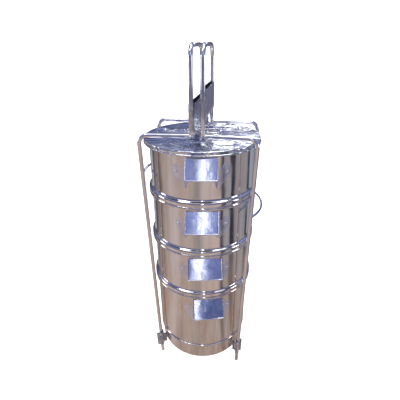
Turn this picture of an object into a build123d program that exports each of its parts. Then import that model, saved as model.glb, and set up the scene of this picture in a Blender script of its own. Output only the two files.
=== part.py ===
from build123d import *
import os
from math import asin, atan2, degrees, hypot, sqrt

# A large stacking lunch carrier (tiffin carrier) in polished sheet steel.
# Four round pots nest on one another and stand in a shallow base cup. Two wire bails, left and
# right, are hinged on four feet beside the cup. Each bail reaches in over the lid and ends in a
# tall wire loop; the two loops lie side by side and are carried together as one handle.
# Frame: millimetres, +Z up, Z = 0 under the feet, X = 0 and Y = 0 on the pots' axis, front = -Y.

# ---------------------------------------------------------------- driving sizes
SHEET = 1.0            # sheet metal of pots, lid, cup and clips
SEAT = 0.3             # air left between pieces that rest on or against one another
RUN = 0.08             # radial clearance of a sliding or turning fit

WALL_R = 101.0         # outside of a pot's wall
RIM_OUT = 7.0          # how far a pot's rolled rim stands out from its wall
RIM_WIRE = 3.0         # radius of the rolled rim
PITCH = 102.6          # height that one nested pot adds to the stack
NEST = 12.0            # how deep a pot's foot sits in the pot below
POTS = 4
BAND_H = 12.0          # swelled band round a pot's lower edge

CUP_Z = 36.0           # underside of the base cup
CUP_RIM_Z = 80.0       # centre of the cup's rolled edge
CUP_WIRE = 2.2
BOTTOM_RIM_Z = 229.9   # top of the bottom pot's rim

LID_OUT = 4.5          # how far the lid's rolled edge stands out past the rims
LID_WIRE = 1.6
COLLAR_DEPTH = 11.0    # the ring under the lid that drops into the top pot

ROD_R = 4.0            # bail wire
BAR_AIR = 7.5          # from the lid's top to the bars
ROD_AIR = (11.4, -1.6) # from the rims' outline to the rods, at the bars and at the floor
ROD_SPLAY = (6.0, 1.0) # rods stand this much further front and back than the loop legs, same heights
BEND = 16.0            # shoulder bend
LOOP_X = 10.0          # centre plane of each handle loop
LOOP_Y = 59.6          # loop legs, front and back
LOOP_RISE = 143.2      # loop top above the bars
LOOP_BEND = 20.0
RUNG_R = 2.5
RUNG_Z = (465.0, 400.0)    # left and right side rungs
RUNG_BOW = (14.0, 21.0)    # how far each rung bows outwards, past the pots' walls

HINGE_Z = 60.0         # bail hinge pins
PIN_R = 1.5
CHEEK_T = 1.2          # sheet of the hinge brackets
CHEEK_DROP = 8.0       # below the pin the cheeks are cut back to the rod's inboard side
BRACKET_DROP = 34.0    # the hinge brackets reach this far below the pins
FOOT_GAP = 1.5         # between a rod's rounded end and the foot post below it

HANDLE_TURN = (7.5, 8.0, 11.0, 14.5)   # how far each pot stands turned, degrees
HANDLE_W = (55.0, 61.0, 66.0, 63.0)    # finger plate, across: hand-cut, so no two pots agree
HANDLE_TOP = 10.0      # plate's top edge below the rim
HANDLE_H = 34.0        # plate's height
HANDLE_OUT = 21.0      # plate's lower edge out from the wall
WING_DROP = 24.0       # side wings reach this far below the plate at the wall
RIVET_U = 43.0         # rivets, sideways from the plate's middle
RIVET_DROP = 29.0      # rivets below the plate's top edge
TAB_END = 6.5          # tab beyond its rivet
SHANK_R = 1.5
HEAD_R = 3.2

PULL_L = 75.0          # folding wire pull on the lid, over the wire
PULL_W = 33.0
PULL_WIRE = 2.0
PULL_RISE = 6.2        # centre of the folded pull above the lid
PULL_Y = PULL_WIRE - PULL_W / 2     # its hinge side: the folded pull is centred on the lid
SADDLE_W = 20.0
SADDLE_RIVET = 8.0     # rivets front and back of the hinge line

TONGUE_H = 11.0        # straight part of the tongue that stands between the loops' feet
SLEEVE_H = 47.0        # sliding sleeve round each loop's two legs
SLEEVE_LOW = (7.5, 30.5)   # left and right sleeve, bottom edge above the bars' centreline

# ---------------------------------------------------------------- sizes that follow
RIM_Z = [BOTTOM_RIM_Z + PITCH * (POTS - 1 - k) for k in range(POTS)]   # top pot first
RIM_R = WALL_R + RIM_OUT
LID_R = RIM_R + LID_OUT
LID_Z = RIM_Z[0] + SEAT + SHEET            # lid's top face
BAR_Z = LID_Z + BAR_AIR + ROD_R
LOOP_Z = BAR_Z + LOOP_RISE
LEG_LOW = BAR_Z - ROD_R - 0.5              # loop legs end just below the bars
LEG_HIGH = LOOP_Z - LOOP_BEND
MID_R = WALL_R - SHEET / 2
TAB_IN = WALL_R + SEAT
TAB_OUT = TAB_IN + SHEET
FOOT_R = WALL_R - SHEET - 3 * SEAT          # outside of an upper pot's nesting foot
CUP_MID_R = MID_R - 2.3                     # mid-line of the base cup's wall
RIVET_ANGLE = degrees(asin(RIVET_U / WALL_R))


def rod_centre(level):
    """Rod centre at the bars (level 0) or at the floor (level 1), on a circle outside the rims."""
    y = LOOP_Y + ROD_SPLAY[level]
    r = RIM_R + ROD_R + ROD_AIR[level]
    return (sqrt(r * r - y * y), y)


ROD_TOP = rod_centre(0)
ROD_FOOT = rod_centre(1)


def rod_at(z):
    """Centre of a leaning rod at height z, as positive x and y."""
    t = z / BAR_Z
    return (ROD_FOOT[0] + t * (ROD_TOP[0] - ROD_FOOT[0]), ROD_FOOT[1] + t * (ROD_TOP[1] - ROD_FOOT[1]))


HINGE_X = rod_at(HINGE_Z)[0]
HINGE_Y = rod_at(HINGE_Z)[1]


def cylinder_between(a, b, radius):
    """A round bar from point a to point b."""
    a = Vector(*a)
    b = Vector(*b)
    along = Plane(origin=a, z_dir=b - a)
    return along * Cylinder(radius, (b - a).length, align=(Align.CENTER, Align.CENTER, Align.MIN))


def turned_shell(points, bend, beads):
    """A sheet-metal body of revolution: mid-line points (r, z), and rolled edges (r, z, radius)."""
    section = trace(FilletPolyline(*points, radius=bend), SHEET)
    for r, z, radius in beads:
        section += Pos(r, z) * Circle(radius)
    return revolve(Plane.XZ * section, Axis.Z)


def wire_along(path, radius):
    """A round wire bent along a path."""
    return sweep(Plane(origin=path @ 0, z_dir=path % 0) * Circle(radius), path=path)


def radial_hole(rim_z, turn):
    """The drill for a rivet, through wall and handle tab."""
    z = rim_z - HANDLE_TOP - RIVET_DROP
    return Rot(0, 0, turn) * cylinder_between((0, -WALL_R + 6, z), (0, -WALL_R - 6, z), SHANK_R + RUN)


def rivet_turns(k):
    """Where pot k's four rivets stand, degrees round from the front."""
    return [HANDLE_TURN[k] + half + side * RIVET_ANGLE for half in (0, 180) for side in (-1, 1)]


# ---------------------------------------------------------------- pots
def pot(k):
    """Pot k, counted from the top. The lowest has a stepped foot that fits the base cup."""
    rim = RIM_Z[k]
    wire_r = RIM_R - RIM_WIRE
    top = [(MID_R, rim - 8), (wire_r - 1, rim - RIM_WIRE)]
    if k < POTS - 1:
        ledge = RIM_Z[k + 1] + SEAT + SHEET / 2
        foot_r = FOOT_R - SHEET / 2
        band_r = RIM_R - 1.7
        foot = [(0, ledge - NEST), (foot_r, ledge - NEST), (foot_r, ledge), (band_r, ledge),
                (band_r, ledge + BAND_H / 2), (MID_R, ledge + BAND_H)]
    else:
        floor = CUP_Z + SHEET + SEAT + SHEET / 2
        foot_r = CUP_MID_R - SHEET - 0.6
        foot = [(0, floor), (foot_r - 5, floor), (foot_r, floor + 7.5), (foot_r, CUP_RIM_Z),
                (MID_R, CUP_RIM_Z + CUP_WIRE + 5)]
    body = turned_shell(foot + top, 2.0, [(wire_r, rim - RIM_WIRE, RIM_WIRE)])
    for turn in rivet_turns(k):
        body -= radial_hole(rim, turn)
    return body


def handle(k, half):
    """One riveted finger handle of pot k: sloping plate, two side wings, two tabs on the wall."""
    top = RIM_Z[k] - HANDLE_TOP
    low = top - HANDLE_H
    out = TAB_OUT + HANDLE_OUT
    wall = Pos(0, 0, RIM_Z[k] - PITCH / 2) * Cylinder(TAB_IN, PITCH + 60)
    skin = Pos(0, 0, RIM_Z[k] - PITCH / 2) * Cylinder(TAB_OUT, PITCH + 60) - wall
    half_w = HANDLE_W[k] / 2
    slope = Plane.YZ * (trace(Line((-TAB_OUT, top), (-out, low)), SHEET) + Pos(-out, low) * Circle(1.4))
    shape = extrude(slope, half_w, both=True)
    for side in (-1, 1):
        edge = side * half_w
        shape += cylinder_between((edge, -TAB_OUT - 1, top - 1.5), (edge, -out, low), 1.2)
        wing = make_face(Polyline((-WALL_R + 8, top), (-TAB_OUT - 0.4, top), (-out, low),
                                  (-TAB_OUT + 3, low - WING_DROP), (-WALL_R + 8, low - WING_DROP),
                                  close=True))
        shape += Pos(edge, 0, 0) * extrude(Plane.YZ * wing, SHEET / 2, both=True)
        rivet = side * RIVET_U
        tab = make_face(Polyline((edge - side * 0.5, top - RIVET_DROP + 9),
                                 (edge + side * 7.5, top - RIVET_DROP + 9),
                                 (rivet - side * 1.5, top - RIVET_DROP + 16),
                                 (rivet + side * TAB_END, top - RIVET_DROP + 9),
                                 (rivet + side * TAB_END, top - RIVET_DROP - 3),
                                 (edge + side * 9.5, low - 16),
                                 (edge + side * 2.5, low - WING_DROP), (edge - side * 0.5, low - WING_DROP),
                                 close=True))
        shape += skin & extrude(Plane.XZ * tab, WALL_R + 20)
    shape -= wall
    shape = Rot(0, 0, HANDLE_TURN[k] + half) * shape
    for turn in rivet_turns(k):
        shape -= radial_hole(RIM_Z[k], turn)
    return shape


def pot_rivets(k):
    """Pot k's rivets: a low domed head on each tab, a shank, and a flat tail inside the wall."""
    z = RIM_Z[k] - HANDLE_TOP - RIVET_DROP
    head = Pos(0, -TAB_OUT - 0.15, z) * Rot(90, 0, 0) * Cylinder(
        HEAD_R, 1.7, align=(Align.CENTER, Align.CENTER, Align.MIN))
    head = fillet(head.edges().sort_by(Axis.Y)[0], 1.4)
    inside = -WALL_R + SHEET + SEAT + 0.1
    shank = cylinder_between((0, inside + 1, z), (0, -TAB_OUT - 0.3, z), SHANK_R)
    tail = cylinder_between((0, inside + 1, z), (0, inside, z), SHANK_R + 1)
    return Compound([Rot(0, 0, turn) * (head + shank + tail) for turn in rivet_turns(k)])


# ---------------------------------------------------------------- lid
def lid_plate():
    """Flat lid whose edge turns down outside the top pot's rim and is rolled."""
    flange_r = LID_R - LID_WIRE - 0.3
    mid = LID_Z - SHEET / 2
    low = mid - 7
    plate = turned_shell([(0, mid), (flange_r, mid), (flange_r, low)], 2.0,
                         [(LID_R - LID_WIRE, low, LID_WIRE)])
    for side in (-1, 1):
        plate -= Pos(0, PULL_Y + side * SADDLE_RIVET, mid) * Cylinder(SHANK_R + RUN, 4)
    return plate


def lid_collar():
    """The ring under the lid that drops into the top pot's mouth."""
    outer = WALL_R - SHEET - SEAT * 2
    top = LID_Z - SHEET - SEAT
    ring = Pos(0, 0, top - COLLAR_DEPTH / 2) * Cylinder(outer, COLLAR_DEPTH)
    ring -= Pos(0, 0, top - SHEET - COLLAR_DEPTH / 2) * Cylinder(outer - SHEET, COLLAR_DEPTH)
    return ring - Pos(0, 0, top) * Cylinder(outer - 9, 4 * SHEET)


def pull():
    """Folding wire pull, lying flat: a racetrack loop that reaches back from its hinge side."""
    loop = RectangleRounded(PULL_L - 2 * PULL_WIRE, PULL_W - 2 * PULL_WIRE, PULL_W / 2 - PULL_WIRE - 0.01)
    at = Pos(0, PULL_Y + PULL_W / 2 - PULL_WIRE, LID_Z + PULL_RISE)
    path = (at * loop).wire()
    return sweep(Plane(origin=path @ 0, z_dir=path % 0) * Circle(PULL_WIRE), path=path)


def saddle():
    """Pressed saddle that holds the pull's hinge side down on the lid, with a foot front and back."""
    axis_z = LID_Z + PULL_RISE
    foot_z = LID_Z + SEAT + SHEET / 2
    hump = Box(SADDLE_W, 2 * (PULL_WIRE + RUN + SHEET), PULL_RISE - SEAT,
               align=(Align.CENTER, Align.CENTER, Align.MIN))
    shape = Pos(0, PULL_Y, LID_Z + SEAT) * hump
    shape += cylinder_between((-SADDLE_W / 2, PULL_Y, axis_z), (SADDLE_W / 2, PULL_Y, axis_z),
                              PULL_WIRE + RUN + SHEET)
    shape += Pos(0, PULL_Y, foot_z) * Box(SADDLE_W, 24, SHEET)
    shape -= cylinder_between((-SADDLE_W, PULL_Y, axis_z), (SADDLE_W, PULL_Y, axis_z), PULL_WIRE + RUN)
    for side in (-1, 1):
        shape -= Pos(0, PULL_Y + side * SADDLE_RIVET, foot_z) * Cylinder(SHANK_R + RUN, 4)
    return shape


def saddle_rivets():
    """Two small rivets through the saddle's feet and the lid."""
    one = Pos(0, 0, LID_Z + SEAT + SHEET + 0.1) * Cylinder(
        HEAD_R - 0.6, 1.3, align=(Align.CENTER, Align.CENTER, Align.MIN))
    one = fillet(one.edges().sort_by(Axis.Z)[-1], 1.0)
    upwards = (Align.CENTER, Align.CENTER, Align.MIN)
    one += Pos(0, 0, LID_Z - SHEET - 0.8) * Cylinder(SHANK_R, 3.4, align=upwards)
    one += Pos(0, 0, LID_Z - SHEET - 1.0) * Cylinder(SHANK_R + 1, 0.9, align=upwards)
    return Compound([Pos(0, PULL_Y + side * SADDLE_RIVET, 0) * one for side in (-1, 1)])


# ---------------------------------------------------------------- base
def cup():
    """Shallow cup with a rolled edge; the bottom pot stands in it."""
    mid = CUP_Z + SHEET / 2
    wall = CUP_MID_R
    return turned_shell([(0, mid), (wall - 4.7, mid), (wall, mid + 7.5), (wall, CUP_RIM_Z)], 2.0,
                        [(wall + CUP_WIRE - 0.2, CUP_RIM_Z, CUP_WIRE)])


def corner_frame(sx, sy):
    """A frame on a rod at hinge height: local z up the rod, local x straight outboard."""
    low = Vector(sx * ROD_FOOT[0], sy * ROD_FOOT[1], 0)
    high = Vector(sx * ROD_TOP[0], sy * ROD_TOP[1], BAR_Z)
    return Plane(origin=(sx * HINGE_X, sy * HINGE_Y, HINGE_Z), x_dir=(sx, 0, 0), z_dir=high - low)


def foot_post(sx, sy):
    """The foot in line below a bail rod, with a rounded flat tip on the floor."""
    x, y = rod_at(HINGE_Z - ROD_R - FOOT_GAP)
    post = cylinder_between((sx * ROD_FOOT[0], sy * ROD_FOOT[1], -1),
                            (sx * x, sy * y, HINGE_Z - ROD_R - FOOT_GAP), ROD_R)
    post = post - Pos(0, 0, -5) * Box(400, 400, 10)
    return fillet(post.edges().sort_by(Axis.Z)[0], 1.4)


def bracket(sx, sy):
    """Hinge bracket: two cheeks for the pin, a channel down the foot's inboard side, a web to the cup."""
    here = corner_frame(sx, sy)
    gap = ROD_R + SEAT + 0.05
    high = ROD_R + 2
    long = high + BRACKET_DROP
    outside = Pos(-CHEEK_T / 2, 0, high - long / 2) * Box(CHEEK_T + 2 * gap, 2 * (gap + CHEEK_T), long)
    inside = Pos(0, 0, high - long / 2) * Box(2 * gap, 2 * gap, long + 2)
    inside += Pos(gap, 0, high - long / 2) * Box(2 * gap, 2 * gap, long + 2)
    inside += Pos(gap - 1.5, 0, -CHEEK_DROP - long / 2) * Box(2 * gap, 4 * gap, long)
    turn = degrees(atan2(sy * HINGE_Y, sx * HINGE_X))
    reach = hypot(HINGE_X, HINGE_Y) - ROD_R + 1
    arm = Rot(0, 0, turn) * Pos(reach - 8, 0, HINGE_Z - 18) * Box(16, 3, 28)
    shape = (here * outside + arm) - here * inside
    shape -= Pos(0, 0, HINGE_Z) * Cylinder(CUP_MID_R + SHEET / 2 + SEAT, 200)
    shape -= cylinder_between((sx * HINGE_X, -200, HINGE_Z), (sx * HINGE_X, 200, HINGE_Z), PIN_R + 0.02)
    return shape


def hinge_pins():
    """The four hinge pins, each with a low head at both ends, along Y through cheeks and rod."""
    half = ROD_R + SEAT + 0.05 + CHEEK_T + 0.2
    pins = []
    for sx in (-1, 1):
        for sy in (-1, 1):
            x = sx * HINGE_X
            y = sy * HINGE_Y
            pin = cylinder_between((x, y - half - 1, HINGE_Z), (x, y + half + 1, HINGE_Z), PIN_R)
            for end in (-1, 1):
                pin += cylinder_between((x, y + end * half, HINGE_Z),
                                        (x, y + end * (half + 1.2), HINGE_Z), 2.8)
            pins.append(pin)
    return Compound(pins)


# ---------------------------------------------------------------- bails
def rod(sx, sy):
    """One long rod of a bail, rounded and cross-drilled where the hinge pin goes through."""
    top_z = BAR_Z - BEND - 2
    low = (sx * HINGE_X, sy * HINGE_Y, HINGE_Z)
    high = (sx * rod_at(top_z)[0], sy * rod_at(top_z)[1], top_z)
    bar = cylinder_between(low, high, ROD_R) + Pos(*low) * Sphere(ROD_R)
    return bar - cylinder_between((low[0], low[1] - 9, HINGE_Z), (low[0], low[1] + 9, HINGE_Z), PIN_R + RUN)


def shoulder(sx, sy):
    """The bend at a rod's top and the bar that runs in over the lid to a loop's leg."""
    top_z = BAR_Z - BEND - 2
    start = Vector(sx * rod_at(top_z)[0], sy * rod_at(top_z)[1], top_z)
    inner = Vector(sx * LOOP_X, sy * LOOP_Y, BAR_Z)
    corner = Vector(sx * ROD_TOP[0], sy * ROD_TOP[1], BAR_Z)
    path = FilletPolyline(start, corner, inner, radius=BEND)
    bar = wire_along(path, ROD_R)
    return bar - Pos(sx * LOOP_X, sy * LOOP_Y, BAR_Z) * Cylinder(ROD_R, 40)


def leg(sx, sy):
    """A handle loop's upright leg."""
    return cylinder_between((sx * LOOP_X, sy * LOOP_Y, LEG_LOW), (sx * LOOP_X, sy * LOOP_Y, LEG_HIGH), ROD_R)


def loop_top(sx):
    """The top of a handle loop, front to back over the hand."""
    x = sx * LOOP_X
    path = FilletPolyline((x, -LOOP_Y, LEG_HIGH), (x, -LOOP_Y, LOOP_Z),
                          (x, LOOP_Y, LOOP_Z), (x, LOOP_Y, LEG_HIGH),
                          radius=LOOP_BEND - 0.01)
    return wire_along(path, ROD_R)


def rung(sx, z, bow):
    """A thinner wire that ties a bail's front and back rods together at the side."""
    x, y = rod_at(z)
    path = ThreePointArc((sx * x, -y, z), (sx * (x + bow), 0, z), (sx * x, y, z))
    wire = wire_along(path, RUNG_R)
    for sy in (-1, 1):
        low = rod_at(z - 20)
        high = rod_at(z + 20)
        wire -= cylinder_between((sx * low[0], sy * low[1], z - 20),
                                 (sx * high[0], sy * high[1], z + 20), ROD_R)
    return wire


def stop_plate(sy):
    """A small plate under the two loops' feet with an upright tongue that keeps them apart."""
    top = LEG_LOW - SEAT
    wide = 2 * (LOOP_X + ROD_R + 1.5)
    half = LOOP_X - ROD_R - 1.5
    plate = Pos(0, sy * (LOOP_Y + 5.5), top - CHEEK_T / 2) * Box(wide, 19, CHEEK_T)
    plate = fillet(plate.edges().filter_by(Axis.Z), 2.5)
    tongue = Pos(0, top + TONGUE_H / 2 - 0.5) * Rectangle(2 * half, TONGUE_H + 1)
    tongue = Plane.XZ * (tongue + Pos(0, top + TONGUE_H) * Circle(half))
    tongue = Pos(0, sy * (LOOP_Y - 1), 0) * extrude(tongue, CHEEK_T / 2, both=True)
    return plate + tongue


def sleeve(sx, low):
    """A flat sheet sleeve that slides up and down round the two legs of one loop."""
    bore = ROD_R + RUN
    ring = SlotCenterToCenter(2 * LOOP_Y, 2 * (bore + SHEET), rotation=90)
    hole = SlotCenterToCenter(2 * LOOP_Y, 2 * bore, rotation=90)
    body = extrude(Plane.XY * (ring - hole), SLEEVE_H)
    return Pos(sx * LOOP_X, 0, BAR_Z + low) * body


# ---------------------------------------------------------------- write the nodes
nodes = {"base_cup": cup(), "hinge_pins": hinge_pins(), "lid_plate": lid_plate(), "lid_collar": lid_collar(),
         "lid_pull": pull(), "lid_saddle": saddle(), "lid_rivets": saddle_rivets()}

for i, (side, sx) in enumerate((("left", -1), ("right", 1))):
    for end, sy in (("front", -1), ("back", 1)):
        nodes[f"foot_{side}_{end}"] = foot_post(sx, sy)
        nodes[f"bracket_{side}_{end}"] = bracket(sx, sy)
        nodes[f"rod_{side}_{end}"] = rod(sx, sy)
        nodes[f"bar_{side}_{end}"] = shoulder(sx, sy)
        nodes[f"leg_{side}_{end}"] = leg(sx, sy)
    nodes[f"loop_{side}"] = loop_top(sx)
    nodes[f"rung_{side}"] = rung(sx, RUNG_Z[i], RUNG_BOW[i])
    nodes[f"sleeve_{side}"] = sleeve(sx, SLEEVE_LOW[i])

nodes["stop_front"] = stop_plate(-1)
nodes["stop_back"] = stop_plate(1)

for k in range(POTS):
    nodes[f"pot_{k + 1}"] = pot(k)
    nodes[f"handle_{k + 1}_front"] = handle(k, 0)
    nodes[f"handle_{k + 1}_back"] = handle(k, 180)
    nodes[f"rivets_{k + 1}"] = pot_rivets(k)

os.makedirs("parts", exist_ok=True)
for name, shape in nodes.items():
    export_step(shape, f"parts/{name}.step")
    print(name, len(shape.solids()), "solid(s)", round(shape.volume), "mm3")
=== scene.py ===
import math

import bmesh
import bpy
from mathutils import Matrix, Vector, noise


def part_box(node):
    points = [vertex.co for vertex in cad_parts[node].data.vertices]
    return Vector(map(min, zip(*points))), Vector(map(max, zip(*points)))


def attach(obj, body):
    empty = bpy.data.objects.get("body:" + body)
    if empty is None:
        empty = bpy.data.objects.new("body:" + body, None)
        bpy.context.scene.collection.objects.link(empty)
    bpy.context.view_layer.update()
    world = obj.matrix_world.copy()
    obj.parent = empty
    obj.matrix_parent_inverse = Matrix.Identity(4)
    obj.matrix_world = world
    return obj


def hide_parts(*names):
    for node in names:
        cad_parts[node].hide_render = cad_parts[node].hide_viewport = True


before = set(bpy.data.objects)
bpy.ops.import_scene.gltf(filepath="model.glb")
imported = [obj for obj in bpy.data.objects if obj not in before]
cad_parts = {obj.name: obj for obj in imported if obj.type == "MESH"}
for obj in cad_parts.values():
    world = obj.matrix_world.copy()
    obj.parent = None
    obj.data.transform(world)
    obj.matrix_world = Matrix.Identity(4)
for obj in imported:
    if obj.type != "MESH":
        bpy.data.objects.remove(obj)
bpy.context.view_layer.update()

# %% [markdown]
# # A stacking lunch carrier in polished steel
# The real object is spun, pressed and bent from stainless sheet and wire. Nothing on it is painted:
# all its colour is reflection. So the shapes have to bend light as the real ones do, with rolled rims,
# swelled bands and slightly uneven walls, and the room around it has to be worth reflecting.
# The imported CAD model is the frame. Its boxes give the places of every piece made here.

MM = 0.001
SHEET = 1 * MM

LID_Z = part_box("lid_plate")[1].z
LID_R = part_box("lid_plate")[1].x
RIM_Z = [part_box(f"pot_{k}")[1].z for k in (1, 2, 3, 4)]
RIM_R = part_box("pot_1")[1].x
WALL_R = RIM_R - 7 * MM
CUP_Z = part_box("base_cup")[0].z
LOOP_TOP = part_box("loop_right")[1].z
print("lid at", round(LID_Z, 4), "rims at", [round(z, 4) for z in RIM_Z], "rim radius", round(RIM_R, 4))

# %% [markdown]
# ## The camera
# It stands a little right of the front and looks down on the lid, close enough for the stack to taper.
# A long lens further away would show the pots as straight cylinders, so the distance matters as much as
# the direction. The direction is written as turn, tilt and roll, and the three camera axes follow from it.

# %% Camera
def aim_camera(spot, turn, tilt, roll, lens):
    """A camera at spot that looks along +Y, turned clockwise, tilted down and rolled, in degrees."""
    turn, tilt, roll = (math.radians(v) for v in (turn, tilt, roll))
    ahead = Vector((math.sin(turn) * math.cos(tilt), math.cos(turn) * math.cos(tilt), -math.sin(tilt)))
    level = ahead.cross(Vector((0, 0, 1))).normalized()
    above = level.cross(ahead)
    right = level * math.cos(roll) + above * math.sin(roll)
    up = above * math.cos(roll) - level * math.sin(roll)
    data = bpy.data.cameras.new("camera")
    data.sensor_width = 36
    data.lens = lens
    data.clip_start = 0.01
    camera = bpy.data.objects.new("camera", data)
    bpy.context.scene.collection.objects.link(camera)
    camera.matrix_world = Matrix.Translation(spot) @ Matrix((right, up, -ahead)).transposed().to_4x4()
    bpy.context.scene.camera = camera
    return camera


camera = aim_camera(Vector((0.0896, -0.5966, LID_Z + 0.1575)), -9.04, 26.276, -0.286, 28.73)
print("camera at", [round(v, 3) for v in camera.matrix_world.translation])

# %% [markdown]
# ## Shader maths in plain Python
# Steel needs a few patterns mixed together. Wiring Math nodes by hand hides the sum, so one small class
# wraps a socket and turns +, - and * into Math nodes, and one method makes any other node.

# %% A value in a finish, and the finish that holds its nodes
class Value:
    def __init__(self, finish, socket):
        self.finish = finish
        self.socket = socket

    def maths(self, operation, first, second):
        return self.finish.node("ShaderNodeMath", {"operation": operation}, {0: first, 1: second})

    def __add__(self, other):
        return self.maths("ADD", self, other)

    def __radd__(self, other):
        return self.maths("ADD", other, self)

    def __sub__(self, other):
        return self.maths("SUBTRACT", self, other)

    def __rsub__(self, other):
        return self.maths("SUBTRACT", other, self)

    def __mul__(self, other):
        return self.maths("MULTIPLY", self, other)

    def __rmul__(self, other):
        return self.maths("MULTIPLY", other, self)


class Finish:
    """A node material for one kind of surface."""

    def __init__(self, name):
        self.material = bpy.data.materials.new(name)
        self.material.use_nodes = True
        self.tree = self.material.node_tree
        self.tree.nodes.clear()
        self.shader = self.tree.nodes.new("ShaderNodeBsdfPrincipled")
        output = self.tree.nodes.new("ShaderNodeOutputMaterial")
        self.tree.links.new(self.shader.outputs[0], output.inputs["Surface"])
        self.place = self.node("ShaderNodeTexCoord", {}, {}, "Object")

    def feed(self, socket, value):
        if isinstance(value, Value):
            self.tree.links.new(value.socket, socket)
        else:
            socket.default_value = value

    def node(self, kind, settings, inputs, output=0):
        made = self.tree.nodes.new(kind)
        for name, value in settings.items():
            setattr(made, name, value)
        for name, value in inputs.items():
            self.feed(made.inputs[name], value)
        return Value(self, made.outputs[output])

    def noise(self, scale, detail=3.0, rough=0.55, twist=0.0):
        placed = self.node("ShaderNodeMapping", {}, {"Vector": self.place, "Scale": scale})
        return self.node("ShaderNodeTexNoise", {}, {"Vector": placed, "Scale": 1.0, "Detail": detail,
                                                    "Roughness": rough, "Distortion": twist}, "Fac")

    def ramp(self, value, low, high, start=0.0, end=1.0):
        return self.node("ShaderNodeMapRange", {"clamp": True},
                         {"Value": value, "From Min": low, "From Max": high, "To Min": start, "To Max": end})

    def mix(self, mask, first, second):
        return self.node("ShaderNodeMix", {"data_type": "RGBA"}, {0: mask, 6: first, 7: second}, 2)

    def bump(self, height, strength, distance, under=None):
        inputs = {"Height": height, "Strength": strength, "Distance": distance}
        if under is not None:
            inputs["Normal"] = under
        return self.node("ShaderNodeBump", {}, inputs)

    def surface(self, **values):
        for name, value in values.items():
            self.feed(self.shader.inputs[name.replace("_", " ")], value)


# %% [markdown]
# ## The steels
# Eight finishes cover the object. The pots' walls were buffed while they turned on a wheel, so their
# finest lines run round them, while the sheet itself is slightly wavy and breaks reflections into
# upright streaks. Low down their colour is painted browner and darker by a mask on height: a painted
# reflection of the warm counter. The lid was buffed flat. The finger plates are softer, and their blue
# is a painted reflection of the blue room. The wires carry fine lines along their length. Sleeves,
# stops and brackets are plainer and duller, and the brackets' dark blue is a painted reflection too.
# Rivets and welds are grainy. All are full metals: Base Color holds steel's slight tone, as steel is
# never quite neutral, and the painted reflections named here; everything else comes from roughness
# and bump.

# %% Steel of the pots' walls
PAINTED_BROWN_TOP, PAINTED_BROWN_FULL = 0.42, 0.12     # heights in metres where the painted brown reflection starts and is full


def wall_steel():
    """Smeared, streaked upright, with a painted brown reflection low down and fine rings from the buffing
    wheel.
    """
    steel = Finish("wall_steel")
    smears = steel.noise((9, 9, 2.2), 4.0, 0.6, 0.4)
    streaks = steel.noise((46, 46, 2.0))
    rings = steel.noise((3, 3, 950), 2.0)
    waves = steel.noise((15, 15, 5.0), 1.5, 0.5, 0.7)
    nicks = steel.ramp(steel.noise((260, 260, 120), 2.0), 0.70, 0.78)
    tint = steel.mix(steel.ramp(smears, 0.35, 0.7), (0.80, 0.765, 0.745, 1), (0.92, 0.90, 0.90, 1))
    tint = steel.mix(steel.ramp(streaks, 0.5, 0.8, 0.0, 0.35), tint, (0.70, 0.675, 0.67, 1))
    up = steel.node("ShaderNodeSeparateXYZ", {}, {0: steel.place}, 2)
    low = steel.ramp(up, PAINTED_BROWN_TOP, PAINTED_BROWN_FULL)
    # Painted reflection: a brown tint, strongest low down, stands in for the warm counter mirrored in the
    # lower walls.
    painted_brown_reflection = steel.ramp(steel.noise((20, 20, 7), 4.0, 0.6, 1.0), 0.42, 0.66) * low
    tint = steel.mix(painted_brown_reflection * 0.75, tint, (0.80, 0.655, 0.52, 1))
    # Fine grain lines darken the tint everywhere. Their extra weight low down is painted reflection, darker
    # towards the bottom.
    grain_and_painted_reflection = steel.ramp(steel.noise((95, 95, 5), 5.0, 0.65, 0.3), 0.46, 0.66)
    tint = steel.mix(grain_and_painted_reflection * (low * 0.35 + 0.25), tint, (0.56, 0.51, 0.51, 1))
    steel.surface(Base_Color=tint, Metallic=1.0,
                  Roughness=steel.ramp(smears, 0.3, 0.75, 0.04, 0.12) + nicks * 0.1)
    waved = steel.bump(waves, 0.6, 0.003)
    lined = steel.bump(streaks, 0.22, 0.0012, waved)
    fine = steel.bump(rings, 0.10, 0.0002, lined)
    steel.surface(Normal=steel.bump(nicks, 0.25, 0.0002, fine))
    return steel.material


# %% Steel of the lid and the handles
def lid_steel():
    """Flat-buffed sheet with shallow dents, pits and scuffs."""
    steel = Finish("lid_steel")
    smears = steel.noise((14, 14, 14), 5.0, 0.6, 1.2)
    dents = steel.noise((16, 30, 16), 2.5, 0.5, 1.4)
    pits = steel.ramp(steel.noise((420, 420, 420), 2.0), 0.66, 0.76)
    scuffs = steel.noise((60, 240, 60), 3.0, 0.6, 2.0)
    tint = steel.mix(steel.ramp(smears, 0.35, 0.7), (0.74, 0.77, 0.83, 1), (0.90, 0.91, 0.94, 1))
    steel.surface(Base_Color=tint, Metallic=1.0,
                  Roughness=steel.ramp(smears, 0.3, 0.7, 0.04, 0.14) + pits * 0.15)
    waved = steel.bump(dents, 1.0, 0.0065)
    scuffed = steel.bump(scuffs, 0.1, 0.0004, waved)
    steel.surface(Normal=steel.bump(pits, 0.3, 0.0002, scuffed))
    return steel.material


def smeared(steel, smears, dull, bright, smooth, rough):
    """Colour and roughness that both follow one pattern of smears."""
    steel.surface(Base_Color=steel.mix(steel.ramp(smears, 0.35, 0.7), dull, bright), Metallic=1.0,
                  Roughness=steel.ramp(smears, 0.3, 0.7, smooth, rough))


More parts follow.
